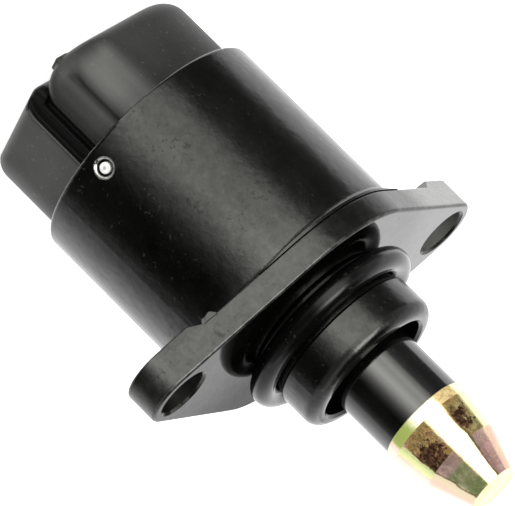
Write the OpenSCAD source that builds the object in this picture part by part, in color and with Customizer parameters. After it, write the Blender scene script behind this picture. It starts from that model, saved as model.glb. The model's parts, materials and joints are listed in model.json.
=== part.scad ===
// Stepper-driven idle air valve: cast can with a two-hole mounting flange,
// moulded socket end, two-coil claw-pole motor, and a sliding metering cone.
// Frame: origin at the centre of the flange's mounting face, +Z towards the
// cone's tip, +X through one of the two mounting holes.

/* [Mounting flange] */
// Distance between the two mounting holes
hole_pitch = 50; // [46:0.5:56]
// Diameter of the mounting holes
hole_d = 6.8; // [5.5:0.1:7.4]
// Thickness of the flange plate
flange_t = 3.7; // [3:0.1:5]
// Extra thickness of the raised pads on the two ears
pad_rise = 1.1; // [0.4:0.1:2]
// Radius of the ear ends
ear_r = 4.9; // [4.6:0.1:6.5]
// Radius of the middle of the flange
mid_r = 17; // [16.9:0.1:20]
// Rounding of the flange's cast edges
edge_round = 0.45; // [0.2:0.05:0.7]
// Width of the chamfer at the mouths of the mounting holes
hole_ch = 0.35; // [0.1:0.05:0.6]

/* [Can] */
// Outer radius of the can
can_r = 16.7; // [16.2:0.1:17]
// Wall thickness of the can
can_wall = 1.4; // [1.2:0.1:1.6]
// Height of the can's rim behind the mounting face
can_h = 30.35; // [29.5:0.05:32]
// Rounding of the rim's outer edge
rim_round = 0.6; // [0.2:0.1:0.9]
// Radius of the fillet between can and flange
foot_fillet = 1.2; // [0.5:0.1:1.8]

/* [Nose] */
// Radius of the nose collar
nose_r = 10.35; // [10.2:0.05:10.8]
// Rear edge of the collar, from the mounting face
nose_z0 = 4.72; // [4.5:0.02:5]
// Front face of the nose, from the mounting face
nose_z1 = 10.4; // [9.8:0.1:11.5]
// Rounding of the collar's front edge
nose_round = 1.7; // [0.8:0.1:2]
// Radius of the neck under the sealing ring
neck_r = 9.8; // [9.4:0.1:9.9]
// Radius of the recess around the sleeve
recess_r = 7.95; // [7.2:0.05:8.2]
// Floor of that recess, from the mounting face
recess_z = 6.2; // [4:0.1:8]

/* [Sealing ring] */
// Section diameter of the nose ring
oring_d = 3.2; // [2.8:0.1:3.4]
// Height of the ring's centre above the mounting face
oring_z = 2.7; // [2:0.05:2.9]

/* [Cone and sleeve] */
// Radius of the sliding sleeve
sleeve_r = 6; // [5.6:0.05:6.4]
// Running clearance of the sleeve in the nose, on the radius
sleeve_gap = 0.06; // [0.04:0.01:0.1]
// Where the cone's base stands, from the mounting face
cone_z0 = 19.16; // [17:0.1:20]
// Length of the cone
cone_len = 12.7; // [11:0.1:14]
// Radius of the cone's base
cone_r0 = 6.2; // [6:0.05:6.6]
// Radius of the cone at its ridge
cone_r1 = 5.45; // [4.8:0.05:5.8]
// Radius of the cone's tip
cone_r2 = 3.4; // [2.8:0.05:3.8]

/* [Socket end] */
// Radius of the socket block
block_r = 15.1; // [14.5:0.1:15.1]
// Half width of the block across its two flats
block_hw = 11.5; // [10.8:0.1:12.2]
// Rear plane of the block, behind the mounting face
block_z = 42.3; // [41:0.1:44]
// Rounding of the thick side's rear edges
block_round = 3; // [1.5:0.1:3.4]
// Distance of the shroud's end flats from the axis
wing_x = 13.1; // [12.9:0.1:13.6]
// Depth of the socket
socket_depth = 10.2; // [9:0.1:10.6]
// Half length of the socket
socket_hx = 9.6; // [8.5:0.1:9.8]
// Half width of the socket
socket_hy = 4.7; // [4:0.1:4.9]
// Spacing of the four blade contacts
blade_pitch = 4; // [3.4:0.1:4.4]

/* [Motor] */
// Outer radius of the motor's iron stack
stack_r = 15.1; // [14.8:0.05:15.2]
// Outer radius of the ring magnet
magnet_r = 7.4; // [7:0.05:7.5]
// Number of claws on each pole piece
claws = 6; // [4:1:8]
// Lead of the screw for one turn
screw_lead = 1; // [0.5:0.1:2]

/* [Hidden] */
$fn = 72;
eps = 0.01;
shroud_y = 6.2;
pillar_y = 12.6;
can_ri = can_r - can_wall;
ear_x = hole_pitch / 2;
tan_a = asin((mid_r - ear_r) / ear_x);
pin_z = -27.5;
pin_a = -26.7;
pin_r = 0.75;
oring_r = 9.8 + oring_d / 2;
// stack heights, all behind the mounting face
z_guide0 = -10.9;
z_guide1 = -8.4;
z_should = -10.3;
z_plate0 = -12;
z_plate1 = -11;
z_brg0 = -15.2;
z_stack0 = -24.5;
z_stack1 = -15.3;
z_mid = (z_stack0 + z_stack1) / 2;
z_cap = -24.6;
brg_ri = 4;
brg_ro = 8;
ball_r = 1.0;
ball_c = 6.02;
balls = 8;
balls_z = (z_plate0 + z_brg0) / 2;
claw_ri = 7.7;
claw_ro = 8.5;
disc_t = 0.8;
sleeve_z0 = -0.8;
tip_z = -block_z + 4.8;

// ---- helpers -------------------------------------------------------------

// tube from z0 to z1
module tube(ro, ri, z0, z1) {
    translate([0, 0, z0]) difference() {
        cylinder(r = ro, h = z1 - z0);
        translate([0, 0, -1]) cylinder(r = ri, h = z1 - z0 + 2);
    }
}

// plain disc from z0 to z1
module disc(r, z0, z1) {
    translate([0, 0, z0]) cylinder(r = r, h = z1 - z0);
}

// quarter round in the plane, filling the corner of a square of side r
module cove(r) {
    difference() {
        square(r);
        translate([r, r]) circle(r, $fn = 48);
    }
}

// a square section from x0 to r and z0 to z1 with both outer corners rounded
module edge_section(x0, r, z0, z1, f) {
    difference() {
        translate([x0, z0]) square([r - x0, z1 - z0]);
        translate([r, z0]) rotate(90) cove(f);
        translate([r, z1]) rotate(180) cove(f);
    }
}

// rhombic slab with rounded edges: a middle disc, two ear discs, and four
// straight sides along their common tangents
module slab(z0, z1, f) {
    side = ear_x * cos(tan_a);
    rotate_extrude($fn = 144) edge_section(0, mid_r, z0, z1, f);
    for (s = [-1, 1]) translate([s * ear_x, 0, 0])
        rotate_extrude($fn = 96) edge_section(0, ear_r, z0, z1, f);
    for (mx = [0, 1], my = [0, 1]) mirror([mx, 0, 0]) mirror([0, my, 0])
        rotate([0, 0, 90 - tan_a]) rotate([90, 0, 0]) linear_extrude(height = side)
            edge_section(mid_r - ear_r + 0.3, mid_r, z0, z1, f);
    translate([0, 0, z0]) linear_extrude(height = z1 - z0) for (s = [-1, 1]) polygon([
        [0, mid_r - f - 0.2], [s * ear_x, ear_r - f - 0.2],
        [s * ear_x, -(ear_r - f - 0.2)], [0, -(mid_r - f - 0.2)]
    ]);
}

// a ring of claws: n axial teeth with tapering flanks, standing from z0
// towards z1, on the air-gap radius
module claw_ring(n, z0, z1, turn) {
    up = z1 > z0 ? 1 : -1;
    len = abs(z1 - z0);
    intersection() {
        tube(claw_ro, claw_ri, min(z0, z1), max(z0, z1));
        for (i = [0:n - 1])
            rotate([0, 0, turn + i * 360 / n])
                translate([0, 0, z0])
                    rotate([90, 0, 90])
                        linear_extrude(height = 12)
                            polygon([
                                [-1.75, -up * 0.2], [1.75, -up * 0.2],
                                [0.95, up * (len + 0.2)], [-0.95, up * (len + 0.2)]
                            ]);
    }
}

// ---- fixed pieces --------------------------------------------------------

// one casting: can, flange and nose, with the bores that are machined in it
module housing() {
    color("#2b2b28") difference() {
        union() {
            // flange plate
            slab(-flange_t, 0, edge_round);
            // raised pads on the ears, ramped down towards the can
            intersection() {
                slab(-flange_t - pad_rise, -1, edge_round);
                for (s = [-1, 1]) translate([s * ear_x, 0, -flange_t - pad_rise])
                    cylinder(r1 = 6.6, r2 = 8.6, h = pad_rise + 0.4, $fn = 96);
            }
            // can
            rotate_extrude($fn = 144) difference() {
                translate([0, -can_h]) square([can_r, can_h - 0.5]);
                translate([can_r, -can_h]) rotate(90) cove(rim_round);
            }
            // fillet between can and flange, within the flange's outline
            intersection() {
                slab(-can_h, -1, edge_round);
                rotate_extrude($fn = 144)
                    translate([can_r - 0.05, -flange_t + 0.05]) mirror([0, 1]) cove(foot_fillet);
            }
            // nose: neck with the ring's groove, then the collar
            disc(neck_r, -1, nose_z0 + 0.2);
            rotate_extrude($fn = 144) difference() {
                translate([0, nose_z0]) square([nose_r, nose_z1 - nose_z0]);
                translate([nose_r, nose_z1]) rotate(180) cove(nose_round);
                translate([nose_r, nose_z0]) rotate(90) cove(0.35);
            }
            // root fillet at the foot of the nose
            rotate_extrude($fn = 144) translate([neck_r - 0.05, 0]) cove(0.5);
        }
        // bore for the motor, open at the rear
        translate([0, 0, -can_h - 1]) cylinder(r = can_ri, h = can_h + 1 + z_should, $fn = 144);
        // lead-in at the rim
        translate([0, 0, -can_h - eps]) cylinder(r1 = can_ri + 0.35, r2 = can_ri, h = 0.5, $fn = 144);
        // pocket for the screw guide
        disc(12.65, z_should - 1, z_guide1);
        // chamber for the retracted sleeve
        disc(8.5, z_guide1 - 1, -1.6);
        // guide bore of the sleeve, and the recess in front of it
        disc(sleeve_r + sleeve_gap, -3, recess_z + 1);
        disc(recess_r, recess_z, nose_z1 + 1);
        translate([0, 0, nose_z1 - 0.35]) cylinder(r1 = recess_r, r2 = recess_r + 0.4, h = 0.4);
        // mounting holes with chamfered mouths
        for (s = [-1, 1]) translate([s * ear_x, 0, 0]) {
            translate([0, 0, -8]) cylinder(d = hole_d, h = 10);
            translate([0, 0, -hole_ch]) cylinder(d1 = hole_d, d2 = hole_d + 2 * hole_ch + 0.02, h = hole_ch + eps);
        }
        // stepped holes for the three retaining pins
        for (i = [0:2]) rotate([0, 0, pin_a + 120 * i]) translate([can_ri - 2, 0, pin_z]) rotate([0, 90, 0]) {
            cylinder(r = 1.02, h = 5, $fn = 48);
            translate([0, 0, can_wall + 2 - 0.32]) cylinder(r1 = 1.02, r2 = 1.42, h = 0.4, $fn = 48);
        }
    }
}

// rubber ring in the corner between flange and nose
module nose_o_ring() {
    color("#151515") rotate_extrude($fn = 120)
        translate([oring_r, oring_z]) circle(d = oring_d, $fn = 48);
}

// round body from the rear plane zr to the can, its rear edge rounded
module round_body(zr, rnd) {
    rotate_extrude($fn = 144) difference() {
        translate([0, -zr]) square([block_r, zr - can_h + 0.5]);
        translate([block_r, -zr]) rotate(90) cove(rnd);
    }
}

// straight bar section from a to b, its rear corners rounded by ra and rb
module bar_section(a, b, zr, ra, rb) {
    difference() {
        translate([a, -zr]) square([b - a, zr - can_h + 0.5]);
        translate([a, -zr]) cove(ra);
        translate([b, -zr]) rotate(90) cove(rb);
    }
}

// wall round the socket's mouth: flats at both ends, plain back
module shroud() {
    intersection() {
        round_body(block_z, 2.2);
        rotate([90, 0, 90]) translate([0, 0, -20]) linear_extrude(height = 40)
            bar_section(-shroud_y, block_hw, block_z, 1.2, 2.2);
        rotate([90, 0, 0]) translate([0, 0, -20]) linear_extrude(height = 40)
            bar_section(-wing_x, wing_x, block_z, 1.6, 1.6);
    }
}

// thick side of the block, in front of the shroud: its rear falls away in one
// wide rounding towards the shroud
module pillar() {
    intersection() {
        round_body(block_z - 0.2, block_round);
        rotate([90, 0, 90]) translate([0, 0, -20]) linear_extrude(height = 40)
            bar_section(-pillar_y, -shroud_y + 0.1, block_z - 0.2, 2.2, 4.2);
    }
}

// the mouth of the socket, rounded at its corners
module socket_outline(g = 0) {
    hx = socket_hx + g;
    hy = socket_hy + g;
    rc = 2 + g;
    square([2 * hx - 2 * rc, 2 * hy], center = true);
    square([2 * hx, 2 * hy - 2 * rc], center = true);
    for (x = [-1, 1], y = [-1, 1]) translate([x * (hx - rc), y * (hy - rc)]) circle(rc);
}

// guide channel on the flat of the shroud, beside the thick side: a shallow
// floor with a round upper corner, and a deeper groove along it
module guide_channel() {
    translate([wing_x - 0.9, 0, 0]) rotate([90, 0, 90]) linear_extrude(height = 5) {
        translate([-shroud_y - 1, -39.4]) square([shroud_y + 1 - 2.9, 39.4 - can_h - 0.04]);
        translate([-5.5, -39.4]) circle(2.6, $fn = 72);
    }
    translate([wing_x - 1.9, -shroud_y - 1, -39.9]) cube([4, shroud_y + 1 - 4.7, 39.9 - can_h - 0.04]);
}

// moulded cap that closes the can and carries the socket
module connector_cap() {
    color("#3c3f42") difference() {
        union() {
            // plug in the can, with the groove of its sealing ring
            rotate_extrude($fn = 144) difference() {
                translate([0, -can_h + 0.05]) square([can_ri - 0.08, can_h - 0.05 + z_cap]);
                translate([can_ri - 1.24, z_cap - 1.58]) square([2, 1.26]);
                translate([can_ri - 0.08, z_cap]) rotate(180) cove(0.3);
            }
            difference() {
                shroud();
                guide_channel();
            }
            pillar();
            // small latch nose behind the recess, level with the shroud's rim
            translate([8, -10.1, -block_z]) cube([2, 2, 3]);
        }
        // socket
        translate([0, 0, -block_z - 2]) linear_extrude(height = socket_depth + 2) socket_outline();
        // lead-in round the socket's mouth
        translate([0, 0, -block_z - 0.6]) linear_extrude(height = 1.1) socket_outline(0.5);
        // scooped thumb recess on the front corner of the thick side
        rotate([0, 0, -59.1]) translate([17.8, 0, 0]) {
            translate([0, 0, -36.6]) cylinder(r = 4.8, h = 36.6 - can_h - 0.25, $fn = 96);
            translate([0, 0, -36.6]) sphere(r = 4.8, $fn = 96);
        }
        // seat of the rear bush, and the blind hole for the screw's end
        disc(5.02, -28.2, z_cap + 1);
        disc(3, -30.6, z_cap);
        // blind holes for the retaining pins
        for (i = [0:2]) rotate([0, 0, pin_a + 120 * i]) translate([12.6, 0, pin_z]) rotate([0, 90, 0])
            cylinder(r = pin_r, h = 5, $fn = 48);
        // the four contacts are moulded in
        for (i = [0:3]) contact_form(i);
        // solder pocket behind the coils' ends
        translate([-8.2, -6.9, z_cap - 1.6]) cube([16.4, 1.8, 3]);
    }
}

// ring that seals the cap in the can
module cap_seal_ring() {
    color("#1b1b1b") rotate_extrude($fn = 120)
        translate([can_ri - 0.02 - 0.6, z_cap - 0.95]) circle(r = 0.6, $fn = 36);
}

// steel pin pressed through the can into the cap
module retaining_pin(i) {
    color("#d9d9d6") rotate([0, 0, pin_a + 120 * i]) translate([12.7, 0, pin_z]) rotate([0, 90, 0])
        rotate_extrude($fn = 48) difference() {
            square([pin_r, can_r - 12.7 - 0.12]);
            translate([pin_r, can_r - 12.7 - 0.12]) rotate(180) cove(0.18);
        }
}

// bent strip of one contact: blade in the socket, cross leg under the screw's
// blind hole, narrow tail up to the coils
module contact_form(i) {
    translate([(i - 1.5) * blade_pitch, 0, 0]) {
        translate([-1.15, -0.32, tip_z + 0.5]) cube([2.3, 0.64, -31 - tip_z - 0.5]);
        translate([-1.15, -5.72 - 0.5, -31.6]) cube([2.3, 6.54, 0.6]);
        translate([-0.5, -6.22, -31.6]) cube([1, 0.64, 31.6 + z_cap - 0.1]);
    }
}

// blade contact with its tapered tip
module terminal(i) {
    color("#c9ccd0") union() {
        contact_form(i);
        translate([(i - 1.5) * blade_pitch, 0, 0]) rotate([90, 0, 90]) translate([0, 0, -1.15])
            linear_extrude(height = 2.3) polygon([
                [-0.32, tip_z + 0.6], [0.32, tip_z + 0.6], [0.32, tip_z + 0.5],
                [0.14, tip_z], [-0.14, tip_z], [-0.32, tip_z + 0.5]
            ]);
    }
}

// plastic disc that keeps the screw from turning: its hole has a flat
module screw_guide() {
    color("#b9b096") difference() {
        union() {
            disc(12.5, z_guide0, z_guide1);
            disc(5.6, z_guide0, z_guide1);
        }
        difference() {
            disc(2.36, z_guide0 - 1, z_guide1 + 1);
            translate([-5, 1.66, z_guide0 - 2]) cube([10, 5, 6]);
        }
        for (i = [0:5]) rotate([0, 0, i * 60]) translate([8.6, 0, z_guide0 - 1]) cylinder(r = 1.4, h = 5);
    }
}

// dished spring ring that takes up the play of the stack
module stack_spring_washer() {
    color("#8d9094") rotate_extrude($fn = 120)
        polygon([[12.9, -10.72], [15, -10.95], [15, -10.6], [12.9, -10.36]]);
}

// pressed plate with the seat of the ball bearing
module bearing_plate() {
    color("#9a9c9b") difference() {
        union() {
            disc(stack_r, z_plate0, z_plate1);
            disc(9.1, z_brg0, z_plate0 + 0.5);
            rotate_extrude() translate([9, z_plate0]) mirror([0, 1]) cove(0.5);
        }
        disc(6.7, z_brg0 - 1, z_plate1 + 1);
        disc(brg_ro, z_brg0 - 1, z_plate0);
        for (i = [0:2]) rotate([0, 0, 30 + i * 120]) translate([12, 0, z_plate0 - 1]) cylinder(r = 1, h = 3);
    }
}

// outer race with its ball track
module bearing_outer_race() {
    color("#c4c7ca") rotate_extrude($fn = 96) difference() {
        translate([ball_c + 0.62, z_brg0]) square([brg_ro - ball_c - 0.62, z_plate0 - z_brg0]);
        translate([ball_c, balls_z]) circle(r = ball_r + 0.02, $fn = 48);
        translate([brg_ro, z_brg0]) rotate(90) cove(0.2);
    }
}

// inner race with its ball track
module bearing_inner_race() {
    color("#c4c7ca") rotate_extrude($fn = 96) difference() {
        translate([brg_ri, z_brg0]) square([ball_c - 0.62 - brg_ri, z_plate0 - z_brg0]);
        translate([ball_c, balls_z]) circle(r = ball_r + 0.02, $fn = 48);
    }
}

// steel balls
module bearing_balls() {
    color("#dfe2e5") for (i = [0:balls - 1]) rotate([0, 0, i * 360 / balls])
        translate([ball_c, 0, balls_z]) sphere(r = ball_r, $fn = 36);
}

// snap cage round the balls
module bearing_cage() {
    color("#b08d3e") difference() {
        tube(ball_c + 0.36, ball_c - 0.36, balls_z - 0.5, balls_z + 1.45);
        for (i = [0:balls - 1]) rotate([0, 0, i * 360 / balls])
            translate([ball_c, 0, balls_z]) sphere(r = ball_r + 0.06, $fn = 36);
    }
}

// cup of one motor half: disc, outer wall and claws
module stator_cup(front) {
    z0 = front ? z_stack1 : z_stack0;
    dz = front ? -1 : 1;
    zi = z0 + dz * disc_t;
    color("#84878a") union() {
        tube(stack_r, claw_ri, min(z0, zi), max(z0, zi));
        tube(stack_r, stack_r - disc_t, min(z0, z_mid - dz * 0.05), max(z0, z_mid - dz * 0.05));
        claw_ring(claws, zi - dz * 0.1, z_mid - dz * 1.2, front ? 0 : 15);
    }
}

// inner pole piece of one motor half: disc and claws
module pole_plate(front) {
    dz = front ? 1 : -1;
    za = z_mid + dz * 0.05;
    zb = za + dz * disc_t;
    color("#8c8f92") union() {
        tube(stack_r - disc_t - 0.05, claw_ri, min(za, zb), max(za, zb));
        claw_ring(claws, zb - dz * 0.1, (front ? z_stack1 : z_stack0) - dz * 1.2, (front ? 0 : 15) + 180 / claws);
    }
}

// winding spool of one motor half
module bobbin(front) {
    dz = front ? 1 : -1;
    za = z_mid + dz * (disc_t + 0.08);
    zb = (front ? z_stack1 : z_stack0) - dz * (disc_t + 0.03);
    color("#e4dcc4") rotate_extrude($fn = 96) difference() {
        translate([claw_ro + 0.08, min(za, zb)]) square([5.5, abs(zb - za)]);
        translate([claw_ro + 0.08 + 0.5, min(za, zb) + 0.4]) square([6, abs(zb - za) - 0.8]);
    }
}

// copper winding of one motor half
module coil(front) {
    dz = front ? 1 : -1;
    za = z_mid + dz * (disc_t + 0.08);
    zb = (front ? z_stack1 : z_stack0) - dz * (disc_t + 0.03);
    color("#b5622a") tube(13.7, claw_ro + 0.08 + 0.5, min(za, zb) + 0.4, max(za, zb) - 0.4);
}

// plain bush in the cap for the rotor's rear journal
module rear_bush() {
    color("#a9895a") tube(5.02, 3.64, -28.2, z_cap - 0.2);
}

// ---- moving pieces -------------------------------------------------------

// ring magnet moulded on the hub
module rotor_magnet() {
    color("#3b3b40") rotate_extrude($fn = 96) difference() {
        translate([4.8, -24.1]) square([magnet_r - 4.8, 24.1 - 15.6]);
        translate([magnet_r, -24.1]) rotate(90) cove(0.3);
        translate([magnet_r, -15.6]) rotate(180) cove(0.3);
    }
}

// hub of the rotor: nut for the lead screw, with a journal at each end
module rotor_hub() {
    color("#c8b27a") difference() {
        union() {
            disc(3.6, -27.9, -24.2);
            disc(4.8, -24.3, z_brg0 - 0.05);
            disc(brg_ri, z_brg0 - 0.1, z_plate0 + 0.3);
        }
        // thread bore, relieved at both ends
        disc(2.53, -30, -8);
        disc(2.9, -30, -23.5);
        disc(2.9, -14.5, -8);
    }
}

// lead screw: thread, shank with one flat, and the tail inside the cone
module lead_screw() {
    color("#b4b6b8") union() {
        disc(2.5, -22.5, -12.6);
        translate([0, 0, -22.9]) cylinder(r1 = 2.1, r2 = 2.5, h = 0.4);
        difference() {
            disc(2.3, -12.7, 14.5);
            translate([-5, 1.6, -12.6]) cube([10, 5, 13.6]);
        }
        disc(1.8, 14.4, 26);
    }
}

// hollow sleeve that slides in the nose and carries the cone
module pintle_sleeve() {
    color("#262624") rotate_extrude($fn = 96) difference() {
        translate([4.4, sleeve_z0]) square([sleeve_r - 4.4, cone_z0 - sleeve_z0]);
        translate([sleeve_r, sleeve_z0]) rotate(90) cove(0.3);
    }
}

// plated metering cone with two tapers and a flat tip
module pintle_cone() {
    k = cone_len / 12.7;
    color("#c9a54c") rotate_extrude($fn = 96) difference() {
        polygon([
            [1.8, cone_z0], [cone_r0 - 0.15, cone_z0], [cone_r0, cone_z0 + 0.15],
            [cone_r0, cone_z0 + 1.6 * k], [cone_r1, cone_z0 + 6.7 * k],
            [cone_r2, cone_z0 + 12.2 * k], [cone_r2 - 0.5, cone_z0 + 12.7 * k],
            [0, cone_z0 + 12.7 * k], [0, 26], [1.8, 26]
        ]);
        translate([0, -50]) square([0.001, 10]);
    }
    // spigot in the sleeve's end
    color("#c9a54c") tube(4.4, 1.8, 15, cone_z0 + 0.05);
}

housing();
nose_o_ring();
connector_cap();
cap_seal_ring();
retaining_pin(0);  // retaining_pin_1
retaining_pin(1);  // retaining_pin_2
retaining_pin(2);  // retaining_pin_3
terminal(0);  // terminal_1
terminal(1);  // terminal_2
terminal(2);  // terminal_3
terminal(3);  // terminal_4
screw_guide();
stack_spring_washer();
bearing_plate();
bearing_outer_race();
bearing_inner_race();
bearing_balls();
bearing_cage();
stator_cup(true);  // stator_cup_front
bobbin(true);  // bobbin_front
coil(true);  // coil_front
pole_plate(true);  // pole_plate_front
stator_cup(false);  // stator_cup_rear
bobbin(false);  // bobbin_rear
coil(false);  // coil_rear
pole_plate(false);  // pole_plate_rear
rear_bush();
rotor_magnet();
rotor_hub();
lead_screw();
pintle_sleeve();
pintle_cone();
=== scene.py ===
import json
import math
import random
import bpy
import bmesh
import numpy as np
from mathutils import Matrix, Vector


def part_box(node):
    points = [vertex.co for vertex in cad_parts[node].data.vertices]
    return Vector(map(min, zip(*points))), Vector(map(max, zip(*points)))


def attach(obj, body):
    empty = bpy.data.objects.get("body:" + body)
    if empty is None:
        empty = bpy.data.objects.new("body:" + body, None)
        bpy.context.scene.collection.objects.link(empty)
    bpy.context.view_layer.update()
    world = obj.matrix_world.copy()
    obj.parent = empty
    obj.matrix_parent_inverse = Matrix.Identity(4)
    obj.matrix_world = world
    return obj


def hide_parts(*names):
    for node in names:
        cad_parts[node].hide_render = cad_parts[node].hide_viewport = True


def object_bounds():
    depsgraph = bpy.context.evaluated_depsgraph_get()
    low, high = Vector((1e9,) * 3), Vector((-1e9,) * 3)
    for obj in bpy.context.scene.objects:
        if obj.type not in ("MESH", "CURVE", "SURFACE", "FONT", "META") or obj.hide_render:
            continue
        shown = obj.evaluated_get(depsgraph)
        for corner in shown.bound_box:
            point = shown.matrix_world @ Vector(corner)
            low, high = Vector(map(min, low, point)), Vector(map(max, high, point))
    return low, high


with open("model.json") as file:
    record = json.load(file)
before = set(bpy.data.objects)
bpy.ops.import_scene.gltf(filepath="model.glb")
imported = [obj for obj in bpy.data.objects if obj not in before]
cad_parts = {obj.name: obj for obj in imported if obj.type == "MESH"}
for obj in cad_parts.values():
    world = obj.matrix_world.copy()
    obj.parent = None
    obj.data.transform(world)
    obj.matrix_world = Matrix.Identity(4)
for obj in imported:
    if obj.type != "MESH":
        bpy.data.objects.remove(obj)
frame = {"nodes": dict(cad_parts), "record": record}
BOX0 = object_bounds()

MM = 0.001
HOLE_X = 25            # mounting holes, from the axis
CONE_Z1 = 0.02586      # edge between the cone's two tapers
CONE_Z2 = 0.03136      # start of its end chamfer
N = frame["nodes"]

# ---------------------------------------------------------------- camera
PHI = math.radians(74.76)      # axis against the line of sight
PSI = math.radians(44.76)      # the axis's direction in the picture
THETA = math.radians(43.40)    # the flange's turn about the axis
FPX = 6000.0                   # focal length in pixels of a 515 pixel wide frame
ORIGIN_PX = (315.5, 311.8)
DEPTH = 0.7373

a = Vector((math.sin(PHI) * math.cos(PSI), math.sin(PHI) * math.sin(PSI), -math.cos(PHI)))
u = Vector((math.sin(PSI), -math.cos(PSI), 0.0))
w = a.cross(u)
cx = -math.cos(THETA) * u + math.sin(THETA) * w
cy = -(math.sin(THETA) * u + math.cos(THETA) * w)
R = Matrix((cx, cy, a)).transposed()          # object frame to camera frame (x right, y down, z ahead)
t = Vector(((ORIGIN_PX[0] - 257.5) / FPX, (ORIGIN_PX[1] - 253.0) / FPX, 1.0)) * DEPTH
RT = R.transposed()
cam_data = bpy.data.cameras.new("camera")
cam_data.sensor_fit = "HORIZONTAL"
cam_data.sensor_width = 36.0
cam_data.lens = FPX / 515.0 * 36.0
cam_data.clip_start = 0.05
cam_data.clip_end = 20.0
cam = bpy.data.objects.new("camera", cam_data)
bpy.context.scene.collection.objects.link(cam)
cam.matrix_world = Matrix.Translation(-(RT @ t)) @ (RT @ Matrix.Diagonal((1.0, -1.0, -1.0))).to_4x4()
bpy.context.scene.camera = cam
bpy.context.scene.view_settings.view_transform = "Standard"

# directions of the camera's frame in the object's own frame
W = RT @ w      # towards the camera, across the axis
U = RT @ u      # to the upper right of the picture
AZ0 = math.atan2(W.y, W.x)


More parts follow.
